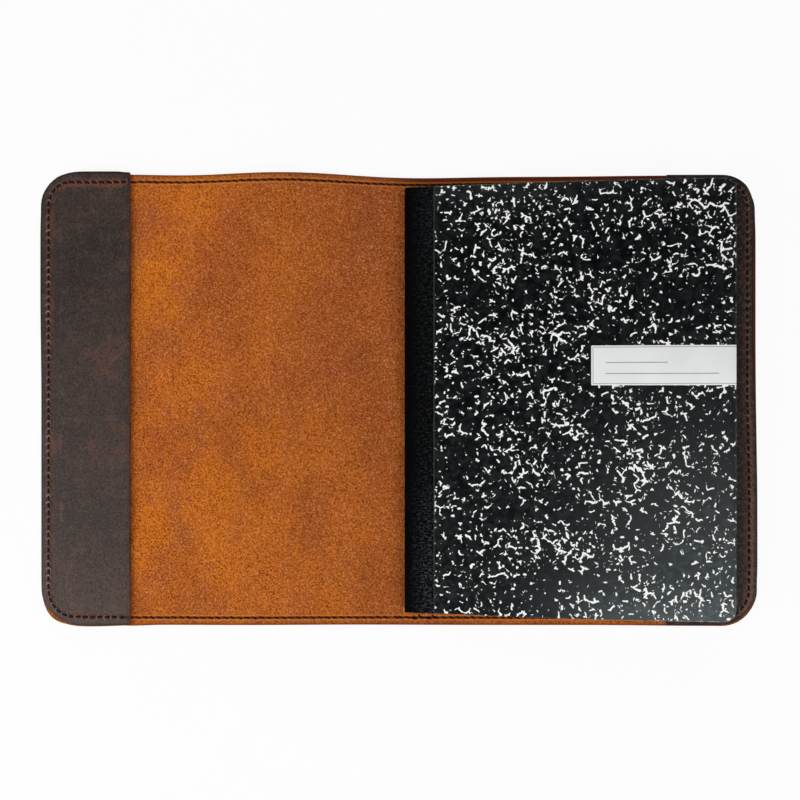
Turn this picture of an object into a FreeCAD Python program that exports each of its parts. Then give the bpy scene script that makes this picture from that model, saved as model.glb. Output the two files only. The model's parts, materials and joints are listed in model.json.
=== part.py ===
import FreeCAD, Part
import math
import operator
import os
import Sketcher

# A leather cover lying open on a table, with a sewn composition notebook in its right-hand pocket.
# Millimetres.  X runs along the open cover, Y up the page and Z up from the table.
# The origin is on the table, under the middle of the open cover.

DIMENSIONS = {
    # the leather sheet, open flat
    "cover_length": 425.0,
    "cover_height": 267.0,
    "leather_thickness": 2.0,
    "cover_corner": 20.0,
    # the strip that stands up behind the notebook when the cover is shut
    "spine_strip": 12.0,
    "spine_clearance": 1.3,
    "fold_gap": 0.1,
    # the two pocket flaps, sewn on three sides
    "flap_width": 53.0,
    "flap_thickness": 2.0,
    "rim_width": 6.0,
    "pocket_clearance": 0.1,
    "pocket_end_slack": 2.0,
    "pocket_side_slack": 0.4,
    "crown_overhang": 1.0,
    # the saddle-stitched seam, in a shallow groove on both faces
    "seam_inset": 4.3,
    "thread_width": 0.9,
    "thread_height": 0.35,
    "groove_clearance": 0.05,
    # the notebook, whose fore edge lies this far inside the end of the cover
    "fore_margin": 23.9,
    "notebook_width": 184.8,
    "notebook_height": 247.6,
    "board_thickness": 0.9,
    "board_corner": 7.0,
    # its cloth tape and the crease that the front board turns on
    "tape_width": 17.4,
    "tape_thickness": 0.2,
    "glue_line": 0.02,
    "hinge_gap": 0.1,
    "crease_lift": 0.15,
    # its leaves, which fan towards the fore edge and step over the pocket flap
    "leaves_at_spine": 5.8,
    "leaves_at_fore_edge": 11.0,
    "leaves_trim": 0.3,
    "leaves_clearance": 0.2,
    "flap_ramp": 38.0,
    "ramp_margin": 2.5,
    "sewing_thread": 0.5,
    "sewing_length": 232.0,
    "sewing_room": 0.1,
    # its front board, which springs open a little and bows
    "board_gap": 7.7,
    "board_bow": 2.2,
    # the label
    "label_length": 80.6,
    "label_height": 22.4,
    "label_rise": 19.5,
    "label_thickness": 0.1,
}

doc = FreeCAD.newDocument("leather_journal")
sheet = doc.addObject("Spreadsheet::Sheet", "Sizes")
for row, (alias, number) in enumerate(DIMENSIONS.items(), start=1):
    sheet.set(f"A{row}", alias)
    sheet.set(f"B{row}", str(number))
    sheet.setAlias(f"B{row}", alias)
doc.recompute()


class Size:
    """A length that is known both as a number and as the spreadsheet expression that gives it."""

    def __init__(self, value, text):
        self.value = value
        self.text = text

    def __add__(self, other):
        return combine(operator.add, "+", self, other)

    def __radd__(self, other):
        return combine(operator.add, "+", other, self)

    def __sub__(self, other):
        return combine(operator.sub, "-", self, other)

    def __rsub__(self, other):
        return combine(operator.sub, "-", other, self)

    def __mul__(self, other):
        return combine(operator.mul, "*", self, other)

    def __rmul__(self, other):
        return combine(operator.mul, "*", other, self)

    def __truediv__(self, other):
        return combine(operator.truediv, "/", self, other)

    def __neg__(self):
        return combine(operator.sub, "-", 0, self)


def as_size(number):
    return number if isinstance(number, Size) else Size(number, str(number))


def combine(operation, sign, first, second):
    first, second = as_size(first), as_size(second)
    return Size(operation(first.value, second.value), f"({first.text} {sign} {second.text})")


def root(size):
    return Size(math.sqrt(size.value), f"sqrt({size.text})")


def slope(rise, run):
    """The angle in degrees of a line that climbs by rise over run."""
    ratio = rise / run
    return Size(math.degrees(math.atan(ratio.value)), f"atan({ratio.text})")


def cell(alias):
    return Size(float(sheet.get(alias)), f"Sizes.{alias}")


# ---- the places that several pieces share ----

leather = cell("leather_thickness")
cover_end = cell("cover_length") / 2
cover_side = cell("cover_height") / 2
cover_corner = cell("cover_corner")

tape = cell("tape_thickness")
board = cell("board_thickness")
board_side = cell("notebook_height") / 2
fore_edge = cover_end - cell("fore_margin")
spine_back = fore_edge - cell("notebook_width")
spine_turn = spine_back + tape + board + cell("sewing_thread") + cell("sewing_room")

back_fold = spine_back - cell("spine_clearance")
front_fold = back_fold - cell("spine_strip")
flap_mouth = cover_end - cell("flap_width")

stack_bottom = leather
back_board_bottom = stack_bottom + tape
leaves_bottom = back_board_bottom + board

pocket_roof = leaves_bottom + cell("pocket_clearance")
crown_top = pocket_roof + cell("flap_thickness")
flap_top = leather + cell("flap_thickness")
leaves_over_flap = crown_top + cell("pocket_clearance")
leaves_top_at_fore_edge = leaves_over_flap + cell("leaves_at_fore_edge")

stack_top = leaves_bottom + cell("leaves_at_spine") + cell("leaves_clearance") + board + tape
hinge_x = spine_turn + cell("hinge_gap")
hinge_z = stack_top + cell("crease_lift")

board_length = fore_edge - hinge_x
board_start = cell("hinge_gap")
board_rise = slope(leaves_top_at_fore_edge + cell("board_gap") + board - stack_top, board_length)

# The front board is part of a wide arc.  These are its outer face's chord, radius and centre, seen
# from the hinge, with x along the board and z away from the leaves.
board_chord = board_length - board_start
board_face = -(tape + cell("crease_lift"))
bow = cell("board_bow")
bow_radius = (board_chord * board_chord / 4 + bow * bow) / (bow * 2)
bow_centre_x = (board_start + board_length) / 2
bow_centre_z = board_face + bow - bow_radius

half_thread = cell("thread_width") / 2
half_groove = half_thread + cell("groove_clearance")
thread_sink = cell("thread_height") / 2
# the inside threads stand proud, so they stop this far short of a fold line
thread_stop = cell("fold_gap") / 2 + cell("thread_height")


# ---- sketches and features ----

def arc_through(start, end, radius, side):
    """The shorter arc between two points.  side is 1 where its centre is on the left, going along."""
    chord = end - start
    left = FreeCAD.Vector(-chord.y, chord.x, 0).normalize()
    reach = math.sqrt(radius ** 2 - (chord.Length / 2) ** 2)
    centre = start + chord / 2 + left * reach * side
    first, last = (start, end) if side > 0 else (end, start)
    begin = math.atan2(first.y - centre.y, first.x - centre.x)
    finish = math.atan2(last.y - centre.y, last.x - centre.x)
    if finish < begin:
        finish += 2 * math.pi
    circle = Part.Circle(centre, FreeCAD.Vector(0, 0, 1), radius)
    return Part.ArcOfCircle(circle, begin, finish)


def bind(sketch, constraint, text):
    """Adds a dimension to a sketch and ties it to an expression."""
    index = sketch.addConstraint(constraint)
    name = f"size{index}"
    sketch.renameConstraint(index, name)
    sketch.setExpression(f"Constraints.{name}", text)


def draw(sketch, outlines):
    """Draws closed outlines.

    An outline is a list of corners (x, y).  A corner (x, y, radius, side) starts an arc to the next
    one, where side is 1 for an arc that turns left and -1 for one that turns right.
    """
    for outline in outlines:
        ends = []
        for number, corner in enumerate(outline):
            following = outline[(number + 1) % len(outline)]
            start = FreeCAD.Vector(corner[0].value, corner[1].value, 0)
            end = FreeCAD.Vector(following[0].value, following[1].value, 0)
            if len(corner) == 2:
                edge = sketch.addGeometry(Part.LineSegment(start, end), False)
                ends.append((edge, 1, 2))
                continue
            radius, side = corner[2:]
            edge = sketch.addGeometry(arc_through(start, end, radius.value, side), False)
            ends.append((edge, 1, 2) if side > 0 else (edge, 2, 1))
            bind(sketch, Sketcher.Constraint("Radius", edge, radius.value), radius.text)
        for number, corner in enumerate(outline):
            edge, start, _ = ends[number]
            before, _, end = ends[number - 1]
            sketch.addConstraint(Sketcher.Constraint("Coincident", before, end, edge, start))
            for axis, place in (("DistanceX", corner[0]), ("DistanceY", corner[1])):
                bind(sketch, Sketcher.Constraint(axis, -1, 1, edge, start, place.value), place.text)


def new_body(label):
    body = doc.addObject("PartDesign::Body", label)
    body.Label = label
    body.AllowCompound = True
    return body


def new_sketch(body, name, role, lift, outlines):
    """A sketch on one of the body's own origin planes, lifted off it along the plane's normal."""
    sketch = body.newObject("Sketcher::SketchObject", name)
    plane = next(item for item in body.Origin.OriginFeatures if item.Role == role)
    sketch.AttachmentSupport = [(plane, "")]
    sketch.MapMode = "FlatFace"
    sketch.AttachmentOffset = FreeCAD.Placement(FreeCAD.Vector(0, 0, lift.value), FreeCAD.Rotation())
    sketch.setExpression("AttachmentOffset.Base.z", lift.text)
    draw(sketch, outlines)
    return sketch


def pad_up(body, name, outlines, bottom, height):
    pad = body.newObject("PartDesign::Pad", name)
    pad.Profile = new_sketch(body, f"{name}_sketch", "XY_Plane", bottom, outlines)
    pad.setExpression("Length", height.text)
    doc.recompute()
    return pad


def pad_across(body, name, outline, width, shift=as_size(0)):
    """Extrudes an outline drawn in X and Z both ways along Y, about a plane shifted along -Y."""
    pad = body.newObject("PartDesign::Pad", name)
    pad.Profile = new_sketch(body, f"{name}_sketch", "XZ_Plane", shift, [outline])
    pad.SideType = "Symmetric"
    pad.setExpression("Length", width.text)
    doc.recompute()
    return pad


def cut(body, name, outlines, face, depth, upwards):
    """A pocket that starts at the height of face and goes up or down into the body."""
    before = body.Shape.Volume
    pocket = body.newObject("PartDesign::Pocket", name)
    pocket.Profile = new_sketch(body, f"{name}_sketch", "XY_Plane", face, outlines)
    pocket.Reversed = upwards
    pocket.setExpression("Length", depth.text)
    doc.recompute()
    if not body.Shape.Volume < before:
        raise RuntimeError(f"{body.Label}: {name} cut nothing")
    return pocket


def loft(body, kind, name, low_outline, low, high_outline, high):
    before = body.Shape.Volume
    feature = body.newObject(kind, name)
    feature.Profile = new_sketch(body, f"{name}_low", "XY_Plane", low, [low_outline])
    feature.Sections = [new_sketch(body, f"{name}_high", "XY_Plane", high, [high_outline])]
    feature.Ruled = True
    doc.recompute()
    if math.isclose(body.Shape.Volume, before):
        raise RuntimeError(f"{body.Label}: {name} changed nothing")
    return feature


def round_fore_corners(body, length):
    """Rounds the two corners at the fore edge, on the edges that stand up at x = length."""
    near = 0.01

    def at_fore_corner(edge):
        first, last = edge.Vertexes[0], edge.Vertexes[-1]
        stands_up = abs(first.Z - last.Z) > near and abs(first.Y - last.Y) < near
        return stands_up and abs(first.X - length) < near and abs(last.X - length) < near

    tip = body.Tip
    names = [f"Edge{i}" for i, edge in enumerate(tip.Shape.Edges, start=1) if at_fore_corner(edge)]
    if len(names) != 2:
        raise RuntimeError(f"{body.Label}: {len(names)} fore-edge corners found")
    fillet = body.newObject("PartDesign::Fillet", "fore_corners")
    fillet.Base = (tip, names)
    fillet.setExpression("Radius", cell("board_corner").text)
    doc.recompute()


# ---- outlines ----

def tongue(near, far, side, radius, hand):
    """A strip from x = near to x = far with both far corners rounded.  hand is 1 to the right, -1 left."""
    return [
        (near * hand, -side),
        ((far - radius) * hand, -side, radius, hand),
        (far * hand, radius - side),
        (far * hand, side - radius, radius, hand),
        ((far - radius) * hand, side),
        (near * hand, side),
    ]


def seam_band(near, half_width, hand):
    """The line of the seam, as a band along the top, round the far end and back along the bottom."""
    outer = cell("seam_inset") - half_width
    inner = cell("seam_inset") + half_width
    outward = tongue(near, cover_end - outer, cover_side - outer, cover_corner - outer, hand)
    inward = tongue(near, cover_end - inner, cover_side - inner, cover_corner - inner, -hand)
    mirrored = [(-corner[0], *corner[1:]) for corner in inward]
    first, low_bend, low_end, high_bend, high_end, last = mirrored
    back_along_top = (high_end[0], high_end[1], high_bend[2], high_bend[3])
    back_along_bottom = (low_end[0], low_end[1], low_bend[2], low_bend[3])
    returning = [last, back_along_top, high_bend[:2], back_along_bottom, low_bend[:2], first]
    return outward + returning


def seam_rails(near, far, half_width):
    """The two straight stretches of the seam between x = near and x = far."""
    rails = []
    for hand in (-1, 1):
        inner = (cover_side - cell("seam_inset") - half_width) * hand
        outer = (cover_side - cell("seam_inset") + half_width) * hand
        rails.append([(near, inner), (far, inner), (far, outer), (near, outer)])
    return rails


def spine_section(far_x, bottom, top, back, thickness, top_x):
    """A sheet that lies flat, turns up behind the leaves and bends over to the hinge, in X and Z."""
    bend = spine_turn - back
    return [
        (far_x, bottom),
        (spine_turn, bottom, bend, -1),
        (back, bottom + bend),
        (back, top - bend, bend, -1),
        (top_x, top),
        (top_x, top - thickness, bend - thickness, 1),
        (back + thickness, top - bend),
        (back + thickness, bottom + bend, bend - thickness, 1),
        (spine_turn, bottom + thickness),
        (far_x, bottom + thickness),
    ]


def bowed_sheet(start, end, inner_radius, outer_radius):
    """A sheet that follows the front board's arc between x = start and x = end, in X and Z."""

    def height(x, radius):
        offset = x - bow_centre_x
        return bow_centre_z + root(radius * radius - offset * offset)

    return [
        (start, height(start, inner_radius), inner_radius, -1),
        (end, height(end, inner_radius)),
        (end, height(end, outer_radius), outer_radius, 1),
        (start, height(start, outer_radius)),
    ]


# ---- the leather cover ----

def outer_panel(label, fold, hand):
    """One half of the leather sheet, from its fold to its rounded end, with its seam grooves."""
    body = new_body(label)
    near = fold * hand + cell("fold_gap") / 2
    pad_up(body, "sheet", [tongue(near, cover_end, cover_side, cover_corner, hand)], as_size(0), leather)
    band = seam_band(near, half_groove, hand)
    cut(body, "outer_groove", [band], as_size(0), cell("thread_height"), True)
    rails = seam_rails(near * hand, flap_mouth * hand, half_groove)
    cut(body, "inner_groove", rails, leather, thread_sink, False)


def spine_panel(label):
    """The part of the leather sheet between the two folds."""
    body = new_body(label)
    near = front_fold + cell("fold_gap") / 2
    far = back_fold - cell("fold_gap") / 2
    strip = [(near, -cover_side), (far, -cover_side), (far, cover_side), (near, cover_side)]
    pad_up(body, "sheet", [strip], as_size(0), leather)
    rails = seam_rails(near, far, half_groove)
    cut(body, "outer_groove", rails, as_size(0), cell("thread_height"), True)
    cut(body, "inner_groove", rails, leather, thread_sink, False)


def front_pocket_flap(label):
    """The empty pocket: a flap that lies flat on the panel it is sewn to."""
    body = new_body(label)
    outline = tongue(flap_mouth, cover_end, cover_side, cover_corner, -1)
    pad_up(body, "flap", [outline], leather, cell("flap_thickness"))
    cut(body, "groove", [seam_band(flap_mouth, half_groove, -1)], flap_top, thread_sink, False)


def back_pocket_flap(label):
    """The filled pocket: a flat sewn rim, and a crown that rises over the tucked-in back board."""
    body = new_body(label)
    rim = cell("rim_width")
    roof_end = fore_edge + cell("pocket_end_slack")
    roof_side = board_side + cell("pocket_side_slack")
    outline = tongue(flap_mouth, cover_end, cover_side, cover_corner, 1)
    rim_line = tongue(flap_mouth, cover_end - rim, cover_side - rim, cover_corner - rim, 1)
    roof_line = tongue(flap_mouth, roof_end, roof_side, cell("board_corner"), 1)
    crown_line = tongue(
        flap_mouth, roof_end + cell("crown_overhang"), roof_side, cell("board_corner"), 1)
    pad_up(body, "flap", [outline], leather, cell("flap_thickness"))
    loft(body, "PartDesign::AdditiveLoft", "crown", rim_line, flap_top, crown_line, crown_top)
    loft(body, "PartDesign::SubtractiveLoft", "pocket", rim_line, leather, roof_line, pocket_roof)
    cut(body, "groove", [seam_band(flap_mouth, half_groove, 1)], flap_top, thread_sink, False)


def inner_seam(label, fold, hand):
    """The thread that shows on the inside of one half: round the flap, then along the panel."""
    body = new_body(label)
    band = seam_band(flap_mouth, half_thread, hand)
    pad_up(body, "on_flap", [band], flap_top - thread_sink, cell("thread_height"))
    rails = seam_rails((fold * hand + thread_stop) * hand, flap_mouth * hand, half_thread)
    pad_up(body, "on_panel", rails, leather - thread_sink, cell("thread_height"))


def outer_seam(label, fold, hand):
    """The thread that shows on the outside of one half, sunk in its groove."""
    body = new_body(label)
    band = seam_band(fold * hand + cell("fold_gap") / 2, half_thread, hand)
    lift = cell("groove_clearance")
    pad_up(body, "thread", [band], lift, cell("thread_height") - lift)


def spine_seam(label, stop, bottom, height):
    """The thread along the two ends of the strip between the folds, stopping short of each fold."""
    body = new_body(label)
    pad_up(body, "thread", seam_rails(front_fold + stop, back_fold - stop, half_thread), bottom, height)


# ---- the notebook ----

def notebook_back_board(label):
    """The back half of the board cover, with the turn that goes up behind the leaves."""
    body = new_body(label)
    section = spine_section(
        fore_edge, back_board_bottom, stack_top - tape, spine_back + tape, board, spine_turn)
    pad_across(body, "board", section, cell("notebook_height"))
    round_fore_corners(body, fore_edge.value)


def back_spine_tape(label):
    """The cloth tape from under the back board, round the spine to the crease."""
    body = new_body(label)
    tape_end = spine_back + cell("tape_width")
    thickness = tape - cell("glue_line")
    section = spine_section(tape_end, stack_bottom, stack_top, spine_back, thickness, spine_turn)
    pad_across(body, "tape", section, cell("notebook_height"))


def page_block(label):
    """The leaves, as one block: flat at the spine, stepping up over the flap, thicker at the fore edge."""
    body = new_body(label)
    trim = cell("leaves_trim")
    front = fore_edge - trim * 2
    ramp_end = flap_mouth - cell("ramp_margin")
    section = [
        (spine_turn, leaves_bottom),
        (ramp_end - cell("flap_ramp"), leaves_bottom),
        (ramp_end, leaves_over_flap),
        (front, leaves_over_flap),
        (front, leaves_top_at_fore_edge),
        (spine_turn, leaves_bottom + cell("leaves_at_spine")),
    ]
    pad_across(body, "leaves", section, cell("notebook_height") - trim * 2)
    round_fore_corners(body, front.value)


def sewing_thread(label):
    """The thread that holds the leaves, between their folds and the turned-up board."""
    thread = doc.addObject("Part::Cylinder", label)
    thread.Label = label
    diameter = cell("sewing_thread")
    length = cell("sewing_length")
    middle = (spine_back + tape + board + spine_turn) / 2
    height = leaves_bottom + cell("leaves_at_spine") / 2
    along_y = FreeCAD.Rotation(FreeCAD.Vector(1, 0, 0), -90)
    thread.Placement = FreeCAD.Placement(FreeCAD.Vector(0, 0, 0), along_y)
    thread.setExpression("Radius", (diameter / 2).text)
    thread.setExpression("Height", length.text)
    thread.setExpression("Placement.Base.x", middle.text)
    thread.setExpression("Placement.Base.y", (-length / 2).text)
    thread.setExpression("Placement.Base.z", height.text)


def lean_on_hinge(body):
    """Stands a piece that was drawn from the crease on it, at the angle the board springs to."""
    body.Placement = FreeCAD.Placement(
        FreeCAD.Vector(hinge_x.value, 0, hinge_z.value),
        FreeCAD.Rotation(FreeCAD.Vector(0, -1, 0), board_rise.value))
    body.setExpression("Placement.Base.x", hinge_x.text)
    body.setExpression("Placement.Base.z", hinge_z.text)
    body.setExpression("Placement.Rotation.Angle", board_rise.text)
    doc.recompute()


def notebook_front_board(label):
    body = new_body(label)
    section = bowed_sheet(board_start, board_length, bow_radius - board, bow_radius)
    pad_across(body, "board", section, cell("notebook_height"))
    round_fore_corners(body, board_length.value)
    lean_on_hinge(body)


def front_spine_tape(label):
    """The cloth tape from the crease on to the front board."""
    body = new_body(label)
    tape_end = spine_back + cell("tape_width") - hinge_x
    section = bowed_sheet(board_start, tape_end, bow_radius + cell("glue_line"), bow_radius + tape)
    pad_across(body, "tape", section, cell("notebook_height"))
    lean_on_hinge(body)


def notebook_label(label):
    body = new_body(label)
    inner = bow_radius + cell("glue_line")
    section = bowed_sheet(
        board_length - cell("label_length"), board_length, inner, inner + cell("label_thickness"))
    pad_across(body, "label", section, cell("label_height"), -cell("label_rise"))
    lean_on_hinge(body)


# ---- the whole journal ----

outer_panel("outer_front_panel", front_fold, -1)
spine_panel("outer_spine_panel")
outer_panel("outer_back_panel", back_fold, 1)
front_pocket_flap("front_pocket_flap")
back_pocket_flap("back_pocket_flap")
inner_seam("front_inner_thread", front_fold, -1)
inner_seam("back_inner_thread", back_fold, 1)
spine_seam("spine_inner_thread", thread_stop, leather - thread_sink, cell("thread_height"))
outer_seam("front_outer_thread", front_fold, -1)
outer_seam("back_outer_thread", back_fold, 1)
spine_seam("spine_outer_thread", cell("fold_gap") / 2, cell("groove_clearance"),
           cell("thread_height") - cell("groove_clearance"))
notebook_back_board("notebook_back_board")
notebook_front_board("notebook_front_board")
back_spine_tape("back_spine_tape")
front_spine_tape("front_spine_tape")
page_block("page_block")
sewing_thread("notebook_sewing_thread")
notebook_label("notebook_label")
doc.recompute()

for item in doc.Objects:
    if "Invalid" in item.State or "Error" in item.State:
        raise RuntimeError(f"{item.Label} failed: {item.State}")

pieces = [item for item in doc.Objects if item.TypeId in ("PartDesign::Body", "Part::Cylinder")]
for piece in pieces:
    if piece.Shape.isNull() or not piece.Shape.isValid() or not piece.Shape.Solids:
        raise RuntimeError(f"{piece.Label} has no valid solid")

os.makedirs("parts", exist_ok=True)
for piece in pieces:
    piece.Shape.exportStep(f"parts/{piece.Label}.step")
    box = piece.Shape.BoundBox
    print(f"{piece.Label:24s} solids {len(piece.Shape.Solids)}  volume {piece.Shape.Volume:10.1f}"
          f"  x {box.XMin:8.2f} {box.XMax:8.2f}  y {box.YMin:8.2f} {box.YMax:8.2f}"
          f"  z {box.ZMin:6.2f} {box.ZMax:6.2f}")
print(f"hinge at x {hinge_x.value:.3f} z {hinge_z.value:.3f}, board rise {board_rise.value:.3f} degrees")
print(f"folds at x {back_fold.value:.3f} and {front_fold.value:.3f}, z {leather.value:.3f}")
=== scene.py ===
import json
import math
import random

import bmesh
import bpy
from mathutils import Matrix, Vector


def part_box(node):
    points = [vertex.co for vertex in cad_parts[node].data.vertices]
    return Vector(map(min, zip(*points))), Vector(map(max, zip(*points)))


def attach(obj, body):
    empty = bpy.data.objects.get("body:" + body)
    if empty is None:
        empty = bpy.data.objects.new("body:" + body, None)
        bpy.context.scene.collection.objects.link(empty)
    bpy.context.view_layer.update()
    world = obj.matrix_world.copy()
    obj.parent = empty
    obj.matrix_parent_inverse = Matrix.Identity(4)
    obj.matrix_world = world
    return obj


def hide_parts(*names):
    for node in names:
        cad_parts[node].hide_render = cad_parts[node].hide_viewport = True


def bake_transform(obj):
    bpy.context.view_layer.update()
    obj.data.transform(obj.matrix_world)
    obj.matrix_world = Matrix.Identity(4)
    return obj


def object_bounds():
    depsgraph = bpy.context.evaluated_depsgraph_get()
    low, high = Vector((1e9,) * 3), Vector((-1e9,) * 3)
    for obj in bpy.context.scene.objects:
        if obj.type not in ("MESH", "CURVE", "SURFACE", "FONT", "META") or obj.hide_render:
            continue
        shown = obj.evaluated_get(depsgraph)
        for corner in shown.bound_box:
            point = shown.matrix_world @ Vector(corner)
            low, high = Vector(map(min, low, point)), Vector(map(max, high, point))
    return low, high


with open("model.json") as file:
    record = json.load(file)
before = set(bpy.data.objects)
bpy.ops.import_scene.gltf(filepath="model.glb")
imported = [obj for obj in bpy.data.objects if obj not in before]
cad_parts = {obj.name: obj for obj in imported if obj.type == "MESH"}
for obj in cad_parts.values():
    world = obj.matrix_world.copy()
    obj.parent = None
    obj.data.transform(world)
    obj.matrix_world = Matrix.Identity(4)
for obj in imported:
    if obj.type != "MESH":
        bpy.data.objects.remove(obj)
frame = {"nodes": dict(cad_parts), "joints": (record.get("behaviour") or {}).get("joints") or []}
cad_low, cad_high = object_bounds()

MM = 0.001
chance = random.Random(11)
scene = bpy.context.scene

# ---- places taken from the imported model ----

half_length = cad_high.x
half_height = cad_high.y
leather_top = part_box("outer_back_panel")[1].z
flap_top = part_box("front_pocket_flap")[1].z
crown_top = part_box("back_pocket_flap")[1].z
flap_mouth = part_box("back_pocket_flap")[0].x
back_fold = (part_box("outer_spine_panel")[1].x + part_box("outer_back_panel")[0].x) / 2
front_fold = (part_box("outer_spine_panel")[0].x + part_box("outer_front_panel")[1].x) / 2
strip_middle = (front_fold + back_fold) / 2

thread_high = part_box("back_inner_thread")[1]
thread_width = 0.9 * MM
seam_x = thread_high.x - thread_width / 2
seam_y = thread_high.y - thread_width / 2
seam_inset = half_length - seam_x
cover_corner = 20 * MM
seam_corner = cover_corner - seam_inset

joints = {joint["name"]: Vector(joint["pos_m"]) for joint in frame["joints"]}
hinge = joints["notebook_front_hinge"]
board_low, board_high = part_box("notebook_front_board")
leaves_low, leaves_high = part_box("page_block")
label_low, label_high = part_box("notebook_label")
tape_low, tape_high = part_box("back_spine_tape")

# the front board, seen from its hinge: its start, its length, its outer face, its bow and its rise
board_start = 0.1 * MM
board_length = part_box("notebook_back_board")[1].x - hinge.x
board_face = -0.35 * MM
board_thickness = 0.9 * MM
board_bow = 2.2 * MM
board_corner = 7 * MM
board_rise = math.asin((board_high.z - hinge.z - board_face) / board_length)
label_length = 79.4 * MM

stitch_pitch = 4.35 * MM
groove_width = 0.8 * MM
groove_inside, groove_outside = 0.18 * MM, 0.35 * MM

# where the back flap's own wear sets in along X, in millimetres, on finishes that both flaps share
back_flap_starts = (150, 160)


# ---- hand tools ----

def select_none():
    bpy.ops.object.select_all(action="DESELECT")


def alone(piece):
    """Selects one piece and nothing else."""
    select_none()
    piece.select_set(True)
    bpy.context.view_layer.objects.active = piece


def edit(piece):
    alone(piece)
    bpy.ops.object.mode_set(mode="EDIT")


def done():
    bpy.ops.object.mode_set(mode="OBJECT")


def pick_all():
    bpy.ops.mesh.select_all(action="SELECT")


def pull_out(x, y, z):
    """Extrudes what is picked."""
    bpy.ops.mesh.extrude_region_move(TRANSFORM_OT_translate={"value": (x, y, z)})


def face_outward():
    pick_all()
    bpy.ops.mesh.normals_make_consistent(inside=False)


def pick(kind, test):
    """Selects the vertices, edges or faces of the piece in hand that pass a test."""
    bpy.ops.mesh.select_mode(type=kind)
    bpy.ops.mesh.select_all(action="DESELECT")
    mesh = bpy.context.object.data
    shape = bmesh.from_edit_mesh(mesh)
    for part in {"VERT": shape.verts, "EDGE": shape.edges, "FACE": shape.faces}[kind]:
        if test(part):
            part.select_set(True)
    shape.select_flush_mode()
    bmesh.update_edit_mesh(mesh)


def rim(edge):
    """True for an edge between a level face and an upright one."""
    level = [abs(face.normal.z) > 0.9 for face in edge.link_faces]
    return any(level) and not all(level)


def corners(one, other):
    """The low and the high corner of the box between two points."""
    pairs = list(zip(one, other))
    return Vector([min(pair) for pair in pairs]), Vector([max(pair) for pair in pairs])


def start_plane(name, low, high):
    middle = (low + high) / 2
    select_none()
    bpy.ops.mesh.primitive_plane_add(size=1, location=(middle.x, middle.y, low.z))
    piece = bpy.context.object
    piece.name = piece.data.name = name
    piece.scale = (high.x - low.x, high.y - low.y, 1)
    bpy.ops.object.transform_apply()
    return piece


def cut_sheet(name, low, high, radius, rounded=lambda vertex: True, ease=0.4 * MM, steps=12):
    """A flat sheet that fills a box, with rounded corners and eased edges, left open for editing."""
    low, high = corners(low, high)
    sheet = start_plane(name, low, high)
    edit(sheet)
    pick("VERT", rounded)
    bpy.ops.mesh.bevel(affect="VERTICES", offset=radius, segments=steps)
    pick_all()
    pull_out(0, 0, high.z - low.z)
    face_outward()
    if ease:
        pick("EDGE", rim)
        bpy.ops.mesh.bevel(affect="EDGES", offset=ease, segments=3)
    return sheet


def press_groove(side, seam_in, depth):
    """Presses the seam's groove into the level face on one side, all round the piece."""
    slope = depth * 0.8
    pick("FACE", lambda face: face.normal.z * side > 0.999)
    for reach, drop in (
            (seam_in - groove_width - slope, 0), (slope, -depth), (groove_width, 0), (slope, depth)):
        bpy.ops.mesh.inset(thickness=reach, depth=drop)


def score(direction, places):
    """Cuts lines across the piece in hand, so that it can bend there."""
    for place in places:
        pick_all()
        bpy.ops.mesh.bisect(plane_co=[way * place for way in direction], plane_no=direction)


def cut_away(direction, place, edge_ease=0):
    """Cuts off what lies beyond a plane, and closes the cut."""
    pick_all()
    bpy.ops.mesh.bisect(
        plane_co=[way * place for way in direction], plane_no=direction, use_fill=True, clear_outer=True)
    if edge_ease:
        facing = Vector(direction)
        pick("EDGE", lambda edge: sorted(
            abs(face.normal.dot(facing)) > 0.99 for face in edge.link_faces) == [False, True]
            and abs((edge.verts[0].co - edge.verts[1].co).z) < 0.1 * MM)
        bpy.ops.mesh.bevel(affect="EDGES", offset=edge_ease, segments=2)


def every(step, low, high):
    """Places between two ends, a step or a little less apart, without the ends."""
    count = math.ceil((high - low) / step)
    return [low + (high - low) * number / count for number in range(1, count)]


def draw_flat_map(piece, flat=lambda corner: corner.xy):
    """Gives the piece a map of its flat shape, in metres, before it is bent."""
    mesh = piece.data
    layer = mesh.uv_layers[0] if mesh.uv_layers else mesh.uv_layers.new()
    layer.name = "flat"
    for loop in mesh.loops:
        layer.data[loop.index].uv = flat(mesh.vertices[loop.vertex_index].co)


def dress(piece, top, bottom, edge):
    """Gives a sheet a finish for its upper face, its lower face and its cut edges."""
    for finish in (top, bottom, edge):
        piece.data.materials.append(finish)
    for face in piece.data.polygons:
        rise = face.normal.z
        face.material_index = 0 if rise > 0.5 else 1 if rise < -0.5 else 2


def shape_with_cage(pieces, low, high, counts, move):
    """Bends pieces with a cage whose points each go where move(point) says."""
    low, high = corners(low, high)
    select_none()
    bpy.ops.object.add(type="LATTICE", location=(low + high) / 2)
    cage = bpy.context.object
    cage.scale = high - low
    cage.data.points_u, cage.data.points_v, cage.data.points_w = counts
    for way, count in zip("uvw", counts):
        kind = "KEY_BSPLINE" if count > 2 else "KEY_LINEAR"
        setattr(cage.data, "interpolation_type_" + way, kind)
    bpy.context.view_layer.update()
    inward = cage.matrix_world.inverted()
    for point in cage.data.points:
        point.co_deform = inward @ move(cage.matrix_world @ point.co)
    for piece in pieces:
        alone(piece)
        modifier = piece.modifiers.new("cage", "LATTICE")
        modifier.object = cage
        bpy.ops.object.modifier_apply(modifier=modifier.name)
    bpy.data.objects.remove(cage)


def smooth(piece, angle=40):
    alone(piece)
    bpy.ops.object.shade_smooth_by_angle(angle=math.radians(angle))


def copy_of(piece, name):
    """A copy with its own mesh."""
    copy = piece.copy()
    copy.data = piece.data.copy()
    copy.name = copy.data.name = name
    scene.collection.objects.link(copy)
    return copy


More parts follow.
